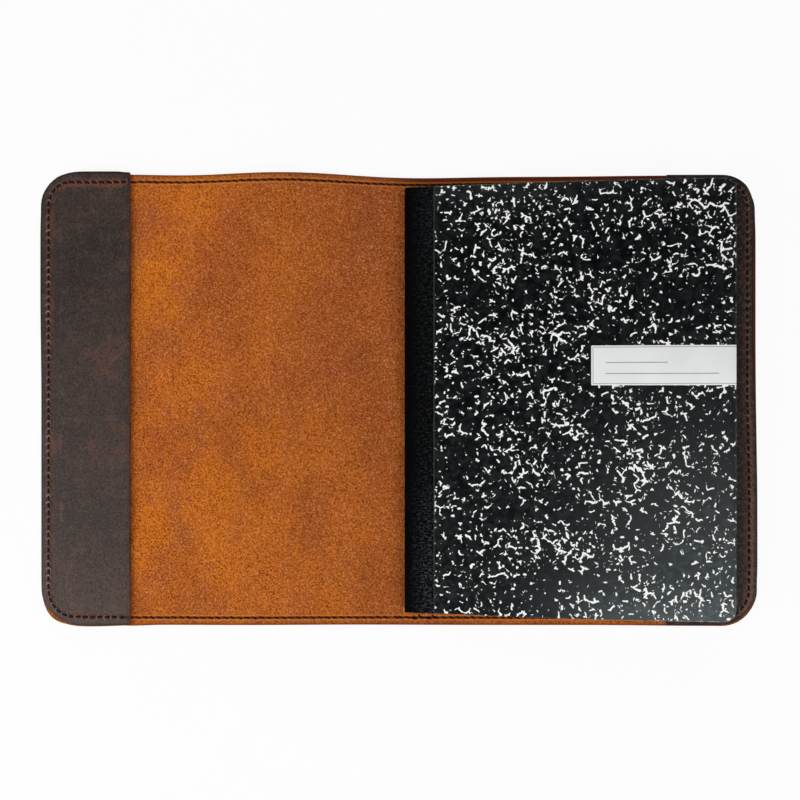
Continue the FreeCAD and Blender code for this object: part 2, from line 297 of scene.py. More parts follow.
def join(pieces, name):
    joined = pieces[0]
    alone(joined)
    for piece in pieces:
        piece.select_set(True)
    bpy.ops.object.join()
    joined.name = joined.data.name = name
    return joined


# ---- shader maths ----

class Nodes:
    """The nodes of a material or of the world."""

    def __init__(self, owner):
        owner.use_nodes = True
        self.tree = owner.node_tree

    def node(self, kind, inputs, output=0, **settings):
        """A new node's output, as a field."""
        made = self.tree.nodes.new(kind)
        for name, value in settings.items():
            setattr(made, name, value)
        self.feed(made.inputs, inputs)
        return Field(self, made.outputs[output])

    def feed(self, sockets, inputs):
        """Links a field to its socket, and sets a plain value on it."""
        for name, value in inputs.items():
            if isinstance(value, Field):
                self.tree.links.new(value.socket, sockets[name])
            else:
                sockets[name].default_value = value


def operation(kind, back=False):
    """A method that works one of the shader's sums on a field and other values."""
    def method(self, *others):
        values = (*others, self) if back else (self, *others)
        return self.nodes.node("ShaderNodeMath", dict(enumerate(values)), operation=kind)
    return method


class Field:
    """A number, a colour or a place that changes over a surface, for use in expressions."""

    __add__ = __radd__ = operation("ADD")
    __sub__ = operation("SUBTRACT")
    __rsub__ = operation("SUBTRACT", back=True)
    __mul__ = __rmul__ = operation("MULTIPLY")
    __abs__ = operation("ABSOLUTE")
    most = operation("MAXIMUM")
    least = operation("MINIMUM")
    sine = operation("SINE")
    root = operation("SQRT")
    wrap = operation("WRAP")

    def __init__(self, nodes, socket):
        self.nodes = nodes
        self.socket = socket

    def between(self, low, high):
        """0 at low and 1 at high, with a soft step."""
        return self.nodes.node(
            "ShaderNodeMapRange", {0: self, 1: low, 2: high}, interpolation_type="SMOOTHSTEP")

    def span(self, low, high):
        """The same, with both ends in millimetres."""
        return self.between(low * MM, high * MM)

    def parts(self, ways="XY"):
        return [self.nodes.node("ShaderNodeSeparateXYZ", {0: self}, way) for way in ways]

    def scaled(self, scale=(1, 1, 1), shift=(0, 0, 0), turn=0):
        return self.nodes.node("ShaderNodeMapping", {
            "Vector": self, "Scale": scale, "Location": shift, "Rotation": (0, 0, turn)})

    def askew(self):
        """The place, turned all ways, so that no noise shows rows along the sides of the piece."""
        return self.nodes.node("ShaderNodeMapping", {"Vector": self, "Rotation": (0.7, 0.4, 0.6)})

    def noise(self, scale, detail=2, roughness=0.5, distortion=0, output=0, dimensions="3D"):
        return self.nodes.node("ShaderNodeTexNoise", {
            "Vector": self, "Scale": scale, "Detail": detail,
            "Roughness": roughness, "Distortion": distortion}, output, noise_dimensions=dimensions)

    def cells(self, scale, output=0, feature="F1", dimensions="3D"):
        return self.nodes.node(
            "ShaderNodeTexVoronoi", {"Vector": self, "Scale": scale}, output,
            feature=feature, voronoi_dimensions=dimensions)

    def sway(self, scale, reach):
        """The place, moved about by a noise, so that straight lines wander."""
        drift = self.noise(scale, 1, output=1)
        return self.nodes.node(
            "ShaderNodeVectorMath", {0: drift, 1: (reach, reach, 0), 2: self}, operation="MULTIPLY_ADD")


def paint(red, green, blue):
    """A colour for a shader, from its everyday 0 to 255 numbers."""
    return tuple(
        c / 12.92 if c <= 0.04045 else ((c + 0.055) / 1.055) ** 2.4
        for c in (red / 255, green / 255, blue / 255)) + (1,)


class Finish(Nodes):
    """A material in the making, whose colour is laid on in coats."""

    def __init__(self, name):
        self.material = bpy.data.materials.new(name)
        super().__init__(self.material)
        self.shader = self.tree.nodes["Principled BSDF"]

    def mix(self, amount, first, second):
        return self.node("ShaderNodeMix", {0: amount, 6: first, 7: second}, 2, data_type="RGBA")

    def ground(self, amount, first, second):
        """Starts the colour with a mix of two."""
        self.colour = self.mix(amount, paint(*first), paint(*second))

    def coat(self, amount, *shade):
        """Covers a share of the colour so far with another."""
        self.colour = self.mix(amount, self.colour, paint(*shade))

    def made(self, roughness, gloss=0.5, tint=(1, 1, 1, 1), relief=None):
        """The finished material. Relief is a height, its depth in millimetres and its strength."""
        inputs = {
            "Base Color": self.colour, "Roughness": roughness, "Specular IOR Level": gloss,
            "Specular Tint": tint}
        if relief:
            height, depth, strength = relief
            inputs["Normal"] = self.node(
                "ShaderNodeBump", {"Height": height, "Distance": depth * MM, "Strength": strength})
        self.feed(self.shader.inputs, inputs)
        return self.material


def start_finish(name, flat=False):
    """A new finish, with the place on the piece that its textures go by: flat map or solid."""
    finish = Finish(name)
    if flat:
        return finish, finish.node("ShaderNodeUVMap", {}, uv_map="flat")
    return finish, finish.node("ShaderNodeTexCoord", {}, "Object")


def inset(x, y, reach_x, reach_y, radius):
    """How far a place is inside a rectangle with rounded corners."""
    beyond_x, beyond_y = abs(x) - (reach_x - radius), abs(y) - (reach_y - radius)
    out_x, out_y = beyond_x.most(0), beyond_y.most(0)
    corner = (out_x * out_x + out_y * out_y).root()
    return radius - corner - beyond_x.most(beyond_y).least(0)


# ---- finishes ----

def suede_finish():
    """The leather's flesh side: short brushed nap, blotched orange and brown, darker at the edge, with
    painted shade along the rim and in the seam's groove.
    """
    finish, place = start_finish("suede_inside", flat=True)
    x, y = place.parts()
    loose = place.askew()
    blotch = place.noise(17, 3, 0.55, 0.5)
    patch = place.scaled((1, 0.6, 1), turn=0.6).noise(60, 3, 0.62)
    broad = place.scaled((1, 0.7, 1), (0.2, 0.5, 0), turn=0.5).noise(29)
    nap = loose.noise(900, 2, 0.7)
    fleck = loose.noise(1350, 1, 0.5)
    edge = inset(x, y, half_length, half_height, cover_corner)

    finish.ground(blotch.between(0.36, 0.66), (208, 112, 28), (188, 98, 38))
    finish.coat(patch.between(0.48, 0.72) * 0.55, 150, 78, 42)
    finish.coat(patch.between(0.5, 0.34) * 0.22, 232, 130, 36)
    finish.coat(broad.between(0.48, 0.66) * 0.52, 158, 82, 40)
    finish.coat(broad.between(0.52, 0.34) * 0.4, 226, 124, 30)
    hue = place.scaled(shift=(0.11, 0.23, 0)).noise(150, 2, 0.6)
    finish.coat(hue.between(0.52, 0.7) * 0.24, 206, 112, 14)
    finish.coat(hue.between(0.48, 0.3) * 0.24, 174, 85, 60)
    # painted shade: darker toward the spine beside the book and toward the far side, where less light falls
    painted_shade_toward_spine = x.span(-165, 0) * (0.75 + 0.6 * y.span(-110, 90))
    finish.coat(painted_shade_toward_spine * 0.5, 143, 75, 43)
    brushed = patch.between(0.4, 0.62)
    finish.coat(nap.between(0.5, 0.35) * (0.92 - 0.3 * brushed), 122, 55, 12)
    finish.coat(nap.between(0.51, 0.67) * (0.34 + 0.3 * brushed), 234, 150, 82)
    finish.coat(fleck.between(0.46, 0.32) * (0.86 - 0.34 * brushed), 80, 36, 14)
    # darker toward the edge, much more so beside the book; the dark outermost rim is painted shade of the
    # rolled edge
    beyond_book = x.span(-20, 14) * y.span(-40, 40)
    finish.coat(edge.span(9, 2) * (0.16 + 0.7 * beyond_book), 80, 31, 11)
    finish.coat(edge.span(1.7, 0.6) * 0.5, 96, 38, 16)
    from_seam = abs(edge - seam_inset)
    banked = from_seam.span(0.6, 1) * from_seam.span(2, 1.3)
    finish.coat(banked * 0.36, 228, 134, 60)
    # painted shade: the nap darkened in the seam's groove
    painted_groove_shade = from_seam.span(0.9, 0.4) * nap.between(0.3, 0.55)
    finish.coat(painted_groove_shade * 0.8, 64, 28, 13)

    height = nap * 0.7 + fleck * 0.3 + patch * 0.5
    return finish.made(0.9 + 0.08 * nap, gloss=0.08, relief=(height, 0.18, 0.8))


def grain_finish():
    """The leather's dark oiled grain side, which lightens where it is rubbed or bent; painted light toward
    the near end, painted shadow beside the book and painted shade in the seam's groove.
    """
    finish, place = start_finish("cover_leather", flat=True)
    x, y = place.parts()
    cloud = place.noise(14, 3, 0.55, 0.6)
    rub = place.scaled((1, 0.7, 1), (0.3, 0.1, 0), 0.7).noise(34, 3, 0.62, 1.2)
    grain = place.askew().noise(820, 3, 0.6)
    pore = place.sway(500, 0.4 * MM).cells(1000, feature="DISTANCE_TO_EDGE")
    edge = inset(x, y, half_length, half_height, cover_corner)
    inside = edge - seam_inset
    by_seam = abs(inside)
    on_back_flap = x.span(*back_flap_starts)

    deep = (13, 9, 9)
    rust = (112, 60, 45)
    # painted light: lighter toward the near end, where the lamps' sheen falls
    painted_light_near_end = y.span(95, -60) * 0.15 + y.span(-60, -140) * 0.42
    finish.ground(cloud.between(0.34, 0.68), (44, 35, 31), (58, 46, 40))
    finish.coat(painted_light_near_end, 92, 74, 66)
    scuffed = rub.between(0.54, 0.74)
    finish.coat(scuffed * 0.36, *rust)
    finish.coat(place.noise(120, 3, 0.65).between(0.46, 0.68) * 0.2, 102, 80, 70)
    far_corner = x.span(-158, -168) * y.span(96, 122)
    streak = place.scaled((0.5, 1.6, 1)).noise(110, 3, 0.6)
    seam_rub = inside.span(4.6, 1.6) * inside.span(-1.8, -0.6)
    seam_rub = seam_rub * (rub.between(0.4, 0.62) * 0.45 + far_corner * streak.between(0.38, 0.58))
    finish.coat(seam_rub, *rust)
    back_seam = by_seam.span(2.1, 0.7) * on_back_flap
    tugged = place.noise(420, 3, 0.7)
    finish.coat(back_seam * tugged.between(0.4, 0.56) * 0.8, 112, 74, 60)
    crease = abs(edge - 13.2 * MM + cloud * 2.4 * MM).span(1.5, 0.2) * rub.between(0.5, 0.66)
    finish.coat(crease * 0.34, 118, 80, 68)
    finish.coat(grain.between(0.5, 0.34) * 0.6, *deep)
    finish.coat(grain.between(0.52, 0.68) * 0.26, 112, 92, 82)
    # painted shadow: the book's shadow on the back flap beside its fore edge, deeper toward the far end
    painted_book_shadow = x.span(208.5, 202) * on_back_flap
    finish.coat(painted_book_shadow * (0.86 + 0.12 * y.span(-80, 60)), *deep)
    finish.coat(on_back_flap * tugged.between(0.49, 0.6) * 0.34, 104, 74, 61)
    finish.coat(on_back_flap * tugged.between(0.5, 0.4) * 0.4, *deep)
    # painted light: a paler band outside the back seam, growing toward the near end
    beyond = abs(inside + 1.3 * MM).span(1.3, 0.3) * x.span(200, 206)
    finish.coat(beyond * 0.42 * y.span(60, -90), 138, 98, 82)
    finish.coat(edge.span(2, 0.3) * 0.85, 7, 4, 4)
    # painted shade: the dark line in the seam's groove
    finish.coat(by_seam.span(1.1, 0.4) * 0.8, 12, 7, 6)

    scratch = place.scaled(turn=-0.7).scaled((30, 900, 1)).noise(1, 1, 0.4)
    scratched = scratch.between(0.73, 0.8) * rub.between(0.45, 0.6)
    finish.coat(scratched * 0.35, 140, 122, 110)
    height = pore.between(0, 0.25) * 0.45 + grain * 0.6 + cloud * 1.5
    return finish.made(
        0.5 + 0.16 * cloud + 0.12 * grain - 0.08 * scuffed, gloss=0.24, relief=(height, 0.14, 0.9))


def cut_edge_finish(name, dark, light):
    """The raw edge of the leather, with its fibres along the cut."""
    finish, place = start_finish(name)
    fibre = place.scaled((1, 1, 5)).noise(700, 3, 0.65)
    finish.ground(place.noise(70).between(0.35, 0.65), dark, light)
    finish.coat(fibre.between(0.5, 0.34) * 0.55, 56, 26, 12)
    return finish.made(0.78 + 0.15 * fibre, gloss=0.25, relief=(fibre, 0.15, 0.8))


def thread_finish():
    """Waxed dark brown thread, with the twist of its plies."""
    finish, place = start_finish("waxed_thread")
    x, y = place.parts()
    ply = ((x + y) * (2 * math.pi / (0.55 * MM))).sine()
    fuzz = place.noise(2400)
    finish.ground(place.noise(60).between(0.42, 0.66), (14, 5, 3), (30, 13, 9))
    finish.coat(fuzz.between(0.5, 0.7) * 0.2, 70, 38, 28)
    finish.coat(abs(x).span(*back_flap_starts) * 0.55, 48, 26, 19)
    return finish.made(
        0.56 + 0.2 * fuzz, gloss=0.1, tint=(1, 0.62, 0.48, 1), relief=(ply * 0.5 + fuzz, 0.1, 0.6))


def pucker_finish(name, low, high):
    """Leather drawn up beside a needle hole, lighter than the rest, partly rubbed and partly a painted
    highlight on its bulge; or the painted shadow of the hole.
    """
    finish, place = start_finish(name)
    pore = place.noise(1500)
    finish.ground(place.noise(130).between(0.38, 0.64), low, high)
    x, y = place.parts()
    finish.coat(x.span(*back_flap_starts) * 0.5, 62, 36, 26)
    finish.coat(abs(y).span(118, 124) * 0.55, 76, 48, 40)
    finish.coat(pore.between(0.5, 0.35) * 0.4, 22, 14, 13)
    return finish.made(0.5 + 0.2 * pore, gloss=0.4, relief=(pore, 0.06, 0.7))


def marbled_finish():
    """Black board paper with white marbling: broken veins, blots and specks, rubbed edges, and a painted
    sheen toward the near fore corner.
    """
    finish, place = start_finish("marbled_paper")
    x, y = place.parts()
    crowd = place.noise(42, dimensions="2D")
    bent = place.sway(260, 3.4 * MM)

    vein = bent.cells(180, feature="DISTANCE_TO_EDGE", dimensions="2D")
    broken = place.noise(235, 1, dimensions="2D")
    thick = (broken - 0.577) * 1.9 + (crowd - 0.5) * 0.8
    veins = (thick.least(0.105) - vein).between(0, 0.025)

    swirl = bent.scaled(shift=(0.31, 0.17, 0)).noise(330, 0.6, dimensions="2D")
    held = place.scaled(shift=(0.07, 0.43, 0)).noise(300, 1, dimensions="2D")
    worms = ((held - 0.615) * 0.48 + (crowd - 0.5) * 0.16 - abs(swirl - 0.5)).between(0, 0.01)

    speck = bent.cells(300, dimensions="2D")
    speck_pick = bent.cells(300, 1, dimensions="2D").parts("X")[0]
    specks = (speck_pick - 0.86 + (crowd - 0.5) * 0.3 - speck).between(0, 0.04)
    white = veins.most(worms).most(specks)

    ghost = place.noise(210, 4, 0.7, 0.6, dimensions="2D")
    dust = place.noise(900)
    finish.ground(ghost.between(0.48, 0.72), (1, 1, 2), (17, 22, 25))
    finish.coat(dust.between(0.5, 0.75) * 0.2, 30, 34, 36)
    # painted sheen: the lamps' reflection on the board toward its near fore corner
    painted_sheen = x.span(60, 150) * y.span(-106, -124)
    finish.coat(painted_sheen * 0.8, 56, 60, 62)
    finish.coat(white, 250, 250, 247)
    middle, reach = (hinge.x + board_high.x) / 2, (board_high.x - hinge.x) / 2
    edge = inset(x - middle, y, reach, board_high.y, board_corner)
    handled = x.span(110, 165) * y.span(-90, -118)
    lightened = edge.span(0.8, 0.15) * broken.between(0.34, 0.52)
    finish.coat(lightened * (0.22 + 0.6 * handled), 140, 138, 130)
    return finish.made(
        0.25 + 0.1 * dust + 0.16 * ghost.between(0.36, 0.62), gloss=0.36, tint=(0.84, 0.97, 1, 1),
        relief=(dust + ghost * 2, 0.03, 0.6))


def board_core_finish():
    """The grey pressed board that shows at the cover's cut edges."""
    finish, place = start_finish("board_core")
    ply = place.scaled((1, 1, 9)).noise(420, 3, 0.6)
    finish.ground(ply.between(0.3, 0.7), (48, 46, 43), (112, 108, 99))
    return finish.made(0.8 + 0.1 * ply, relief=(ply, 0.06, 0.7))


def cloth_finish(length):
    """Black book cloth in a plain weave, with a painted sheen toward the board and the near end, and a
    painted highlight along its raw edge on the board.
    """
    finish, place = start_finish("spine_cloth", flat=True)
    along, across = place.parts()
    pitch = 2 * math.pi / (0.62 * MM)
    weave = (along * pitch).sine() * (across * pitch).sine()
    slub = place.scaled((0.35, 1, 1)).noise(1300, 2, 0.6)
    nub = place.scaled((1, 0.35, 1)).noise(1300, 2, 0.6)
    finish.ground(weave.between(-0.6, 0.9), (1, 1, 1), (5, 5, 5))
    # painted sheen: lighter fibre specks toward the board and most toward the near end, where the lamps'
    # sheen falls
    lightened = along.between(length - 17 * MM, length - 3 * MM) * (
        0.32 + 0.14 * across.span(40, 110) + 0.86 * across.span(-20, -110))
    finish.coat(slub.between(0.5, 0.66) * lightened, 58, 63, 67)
    finish.coat(nub.between(0.52, 0.68) * lightened, 50, 55, 59)
    finish.coat(place.noise(45).between(0.5, 0.8) * 0.2, 14, 15, 16)
    # painted highlight along the cloth's raw edge on the board
    painted_edge_highlight = along.between(length - 0.7 * MM, length - 0.4 * MM)
    finish.coat(painted_edge_highlight * 0.8, 66, 66, 64)
    return finish.made(
        0.66 + 0.2 * slub, gloss=0.03, relief=(weave * 0.6 + slub * 0.5 + nub * 0.5, 0.08, 0.8))


def paper_finish(name, marks):
    """Uncoated paper: ruled for writing, or lined with painted shade between the stacked leaves, or plain.
    """
    finish, place = start_finish(name)
    x, y = place.parts()
    pulp = place.noise(1300, 3)
    tone = place.noise(26)
    finish.ground(tone.between(0.3, 0.7), (237, 234, 224), (233, 229, 218))
    finish.coat(pulp.between(0.5, 0.75) * 0.25, 206, 200, 184)
    if marks == "ruled":
        half_pitch = 7.1 * MM / 2
        line = abs((y - 2 * MM).wrap(half_pitch, -half_pitch)).span(0.26, 0.1)
        line = line * y.between(leaves_high.y - 24 * MM, leaves_high.y - 25 * MM)
        line = line * y.between(leaves_low.y + 12 * MM, leaves_low.y + 13 * MM)
        finish.coat(line * 0.75, 126, 164, 198)
        margin = abs(x - (leaves_low.x + 31.5 * MM)).span(0.28, 0.12)
        finish.coat(margin * 0.7, 206, 120, 122)
    elif marks == "leaf_edges":
        # painted shade: dark lines between the stacked leaves at their edges
        leaf = place.scaled((40, 40, 9000)).noise(1, 2, 0.6)
        finish.coat(leaf.between(0.52, 0.36) * 0.45, 168, 160, 142)
        pulp = pulp + leaf
    return finish.made(0.85 + 0.08 * tone, gloss=0.2, relief=(pulp, 0.03, 0.6))


def label_finish():
    """Coated label paper with two plain writing lines and a thin border that runs off at the fore edge."""
    finish, place = start_finish("label_paper")
    x, y = place.parts()
    left = board_high.x - label_length
    middle_y, reach_y = (label_high.y + label_low.y) / 2, (label_high.y - label_low.y) / 2
    frame_reach = label_length / 2 + 2 * MM
    edge = inset(x - left - frame_reach, y - middle_y, frame_reach, reach_y, 0.2 * MM)
    fibre = place.noise(900)
    finish.ground(place.noise(40).between(0.3, 0.7), (240, 242, 241), (235, 237, 236))
    finish.coat(fibre.between(0.5, 0.8) * 0.2, 216, 216, 213)
    border = abs(edge - 0.95 * MM).span(0.32, 0.12)
    finish.coat(border * 0.7, 130, 130, 132)
    finish.coat(edge.span(0.7, 0.5), 240, 241, 240)
    for rise, start, end in ((1.6 * MM, 8 * MM, 42 * MM), (-4.6 * MM, 8 * MM, 70 * MM)):
        line = abs(y - (middle_y + rise)).span(0.36, 0.14)
        line = line * x.between(left + start - 0.2 * MM, left + start)
        line = line * x.between(left + end, left + end - 0.2 * MM)
        finish.coat(line * 0.7, 84, 86, 88)
    return finish.made(0.5 + 0.1 * fibre, gloss=0.35, relief=(fibre, 0.02, 0.6))


def book_thread_finish():
    """Cotton sewing thread."""
    finish, place = start_finish("book_thread")
    y, z = place.parts("YZ")
    ply = ((y + z * 2) * (2 * math.pi / (0.8 * MM))).sine()
    fuzz = place.noise(2600)
    finish.ground(ply.between(-1, 1), (196, 190, 176), (228, 224, 212))
    finish.coat(fuzz.between(0.5, 0.75) * 0.3, 172, 164, 148)
    return finish.made(0.8 + 0.1 * fuzz, relief=(ply + fuzz, 0.1, 0.6))


suede = suede_finish()
grain = grain_finish()
raw_edge = cut_edge_finish("raw_edge", (118, 62, 30), (158, 88, 42))
flap_edge = cut_edge_finish("flap_edge", (84, 50, 34), (134, 76, 44))
waxed_thread = thread_finish()
# a dark bead that stands in for the shadow in each needle hole: painted shadow
painted_hole_shadow = pucker_finish("painted_hole_shadow", (9, 5, 5), (16, 9, 8))
# lighter beads beside each hole: partly rubbed leather, partly painted highlight
pucker = pucker_finish("seam_pucker", (86, 57, 47), (138, 103, 90))
marbled = marbled_finish()
board_core = board_core_finish()
paper = paper_finish("leaf_paper", "leaf_edges")
ruled_paper = paper_finish("ruled_leaf", "ruled")
lining = paper_finish("board_lining", "plain")
label_paper = label_finish()
book_thread = book_thread_finish()


# ---- the leather ----

fold_reach = 5.9 * MM
fold_past = 0.6 * MM
grid = 4.5 * MM


def cover_leather():
    """The whole sheet, from which both halves are cut where the spine strip never bends."""
    sheet = cut_sheet(
        "cover_leather", (-half_length, -half_height, 0), (half_length, half_height, leather_top),
        cover_corner)
    press_groove(1, seam_inset, groove_inside)
    press_groove(-1, seam_inset, groove_outside)
    front_end = front_fold - fold_reach - 1 * MM
    back_end = back_fold + fold_past + 1 * MM
    score((1, 0, 0), [
        *every(grid, -half_length, front_end), front_end, *every(0.75 * MM, front_end, back_end),
        back_end, *every(grid, back_end, half_length)])
    score((0, 1, 0), every(grid, -half_height, half_height))
    done()
    dress(sheet, suede, grain, raw_edge)
    draw_flat_map(sheet)
    return sheet


def pocket_flap(name, hand):
    """A flap cut from a longer sheet, so that the seam's groove runs off at its mouth."""
    spare = 12 * MM
    back_off = 0.35 * MM
    near, far, side = flap_mouth - spare, half_length - back_off, half_height - back_off
    flap = cut_sheet(
        name, (near * hand, -side, leather_top), (far * hand, side, flap_top),
        cover_corner - back_off, lambda vertex: abs(vertex.co.x) > flap_mouth)
    press_groove(1, seam_inset - back_off, groove_inside)
    cut_away((-hand, 0, 0), -flap_mouth, 0.3 * MM)
    score((1, 0, 0), [place * hand for place in every(3 * MM, flap_mouth, half_length)])
    score((0, 1, 0), every(grid, -half_height, half_height))
    pick_all()
    bpy.ops.mesh.remove_doubles(threshold=0.01 * MM)
    done()
    dress(flap, grain, suede, flap_edge)
    draw_flat_map(flap)
    return flap


# ---- the seam ----

def flat_bead(place, size, finish):
    """A low rounded bead with six sides, its place and size in millimetres."""
    select_none()
    bpy.ops.mesh.primitive_cylinder_add(vertices=6, radius=0.5, depth=0.6)
    bead = bpy.context.object
    edit(bead)
    pick("FACE", lambda face: face.normal.z > 0.9)
    bpy.ops.mesh.inset(thickness=0.18, depth=0.2)
    done()
    size = Matrix.Diagonal(Vector(size) * MM).to_4x4()
    bead.data.transform(Matrix.Translation(Vector(place) * MM) @ size)
    bead.data.materials.append(finish)
    return bead


def one_stitch(on_flap):
    """A thread that comes out of one needle hole, lies over the leather and goes down the next."""
    radius, length = (0.57, 0.5) if on_flap else (0.44, 0.9)
    select_none()
    bpy.ops.mesh.primitive_cylinder_add(
        vertices=6, radius=radius * MM, depth=length * MM, rotation=(0, math.pi / 2, 0))
    stitch = bpy.context.object
    bpy.ops.object.transform_apply()
    edit(stitch)
    for end in (-1, 1):
        for reach, size, drop in ((0.75, 0.80, 0.06), (0.62, 0.50, 0.28)):
            furthest = max(vertex.co.x * end for vertex in bmesh.from_edit_mesh(stitch.data).verts)
            pick("FACE", lambda face: face.normal.x * end > 0.5 and min(
                vertex.co.x * end for vertex in face.verts) > furthest - 0.02 * MM)
            pull_out(reach * end * MM, 0, -drop * MM)
            middle = sum((v.co for v in bmesh.from_edit_mesh(stitch.data).verts if v.select), Vector()) / 6
            bpy.ops.transform.resize(value=(1, size, size), center_override=middle)
    pick_all()
    bpy.ops.transform.resize(value=(1, 1, 0.62), center_override=(0, 0, 0))
    face_outward()
    done()
    stitch.data.materials.append(waxed_thread)
    if on_flap:
        stitch.data.transform(
            Matrix.Translation((0.25 * MM, 0, -0.04 * MM)) @ Matrix.Rotation(math.radians(-19), 4, "Z"))
        beads = [flat_bead(place, size, pucker) for place, size in (
            ((-1.62, 0.10, 0.12), (1.2, 1.9, 0.70)),
            ((-0.90, -0.95, 0.08), (1.6, 0.75, 0.50)),
            ((-0.65, 1.06, 0.08), (1.8, 0.66, 0.46)))]
    else:
        stitch.data.transform(Matrix.Rotation(math.radians(-26), 4, "Z"))
        # on the suede side a dark bead at the end of each stitch: the painted shadow of its hole
        beads = [flat_bead((2.17, 0, -0.02), (0.7, 0.55, 0.12), painted_hole_shadow)]
    return join([stitch, *beads], "stitch")


def seam_point(distance):
    """The place and heading of the seam, at a distance along it from its near left corner."""
    for side in range(4):
        reach_x, reach_y = ((seam_x, seam_y), (seam_y, seam_x))[side % 2]
        run = 2 * (reach_x - seam_corner)
        bend = seam_corner * math.pi / 2
        if distance < run:
            local = Vector((distance - run / 2, -reach_y, 0))
            heading = 0
            break
        distance -= run
        if distance < bend:
            heading = distance / seam_corner
            local = Vector((reach_x - seam_corner, seam_corner - reach_y, 0))
            local += seam_corner * Vector((math.sin(heading), -math.cos(heading), 0))
            break
        distance -= bend
    turn = side * math.pi / 2
    return Matrix.Rotation(turn, 3, "Z") @ local, turn + heading


def seam_rows(stitches):
    """Lays stitches all round, and joins them in rows: front and back halves, inside and outside."""
    around = 4 * (seam_x + seam_y - 2 * seam_corner) + 2 * math.pi * seam_corner
    count = round(around / stitch_pitch)
    clear_of_cut = 2.2 * MM
    proud, sunk = 0.04 * MM, 0.20 * MM
    rows = {}
    for face in ("inner", "outer"):
        inside = face == "inner"
        for number in range(count):
            place, heading = seam_point((number + 0.5) * around / count)
            half = "front" if place.x < strip_middle else "back"
            if abs(place.x - strip_middle) < clear_of_cut:
                place.x = strip_middle + math.copysign(clear_of_cut + 0.05 * MM, place.x - strip_middle)
            on_flap = abs(place.x) > flap_mouth + 1.5 * MM
            level = (flap_top if on_flap else leather_top) + proud if inside else sunk
            slant = math.radians(chance.uniform(-4, 4)) * (1 if inside else -1)
            astray = Vector((chance.uniform(-0.12, 0.12), chance.uniform(-0.14, 0.14), 0))
            place += Matrix.Rotation(heading, 3, "Z") @ astray * MM
            size = Vector((1.0, chance.uniform(0.94, 1.08), 1.0 if inside else 0.48))
            turn = Matrix.Rotation(heading + slant, 4, "Z")
            if not inside:
                turn = turn @ Matrix.Rotation(math.pi, 4, "X")
            piece = copy_of(stitches[on_flap or not inside], f"{half}_{face}_stitch")
            piece.data.transform(
                Matrix.Translation((place.x, place.y, level)) @ turn @ Matrix.Diagonal(size).to_4x4())
            rows.setdefault((half, face), []).append(piece)
    for x, lean, aside in ((9, 14, -0.5), (13, -16, 0.5), (17.2, 15, -0.4), (21, -12, 0.45)):
        piece = copy_of(stitches[False], "back_inner_stitch")
        turn = Matrix.Rotation(math.radians(lean), 4, "Z") @ Matrix.Diagonal((1.05, 1.2, 1.15, 1))
        place = Matrix.Translation((x * MM, -seam_y + aside * MM, leather_top + 0.12 * MM))
        piece.data.transform(place @ turn)
        rows["back", "inner"].append(piece)
    return {
        (half, face): join(pieces, f"{half}_{face}_stitches") for (half, face), pieces in rows.items()}


def hump(value, middle, reach):
    return math.exp(-((value - middle) / reach) ** 2)


def ramp(value, low, high):
    t = min(max((value - low) / (high - low), 0), 1)
    return t * t * (3 - 2 * t)


def moved(shift):
    """A cage's move, from a rule that gives the shift at X and Y. The rule is all in millimetres."""
    return lambda place: place + Vector(shift(place.x / MM, place.y / MM)) * MM


@moved
def lie_of_leather(x, y):
    """The front half of the cover has sprung up a little, mostly at its far edge."""
    wave = 4.1 * hump(x, -68, 46) * hump(y, 152, 44)
    arch = 1.3 * hump(x, -84, 46) * hump(y, 0, 150)
    flap_end = ramp(-x, 105, 205)
    end = flap_end * (0.3 + 1.6 * ramp(y, 124, 137) + 0.6 * hump(y, -146, 14))
    near_edge = 0.8 * hump(x, -110, 70) * hump(y, -150, 26)
    curl = 1.3 * hump(x, 214, 15) * hump(abs(y), 136, 15)
    rise = wave + arch + end + near_edge + curl

    far = 1.5 * hump(x, -68, 46) + 0.6 * hump(x, -158, 24) - 1.2 * hump(x, 8, 38) + 0.9 * ramp(x, 80, 170)
    far += 0.9 * flap_end
    near = 1.2 + 0.7 * ramp(x, -60, 60) + 0.9 * hump(x, 180, 40)
    worn = 0.4 * hump(x, 208, 14) * hump(y, 128, 14)
    spread = (1.2 if x < 0 else 0.4) * hump(abs(x), 208, 12) * hump(y, -128, 12)
    across = far * hump(y, 150, 40) - near * hump(y, -150, 22) - worn - spread
    along = math.copysign(spread, x) - worn
    return along, across, rise


@moved
def lie_of_front_flap(x, y):
    """The front flap was sewn on a little high: it stands out at its far side and is short at the near."""
    return 0, 1.2 * ramp(y, 127, 133.5) + 0.8 * ramp(-y, 127, 133.5), 0


@moved
def lie_of_back_flap(x, y):
    """The back flap rises over the board that it holds, and is a little short of the leather under it."""
    rise = (crown_top - flap_top) / MM * ramp(x, 204, 190.5) * ramp(abs(y), 131.5, 124.5)
    short_x = -0.8 * ramp(x, 206, 212.5) - 1.5 * ramp(x, 206, 212.5) * hump(y, 56, 60)
    short_y = 0.8 * ramp(-y, 127, 133.5)
    return short_x, short_y, rise


@moved
def lie_of_near_corner(x, y):
    """At its near corner each flap, with the seam through it, falls short of the leather below."""
    short = (1.9 if x < 0 else 1.3) * hump(abs(x), 207, 12) * hump(y, -128, 12)
    return math.copysign(short, -x), short, 0


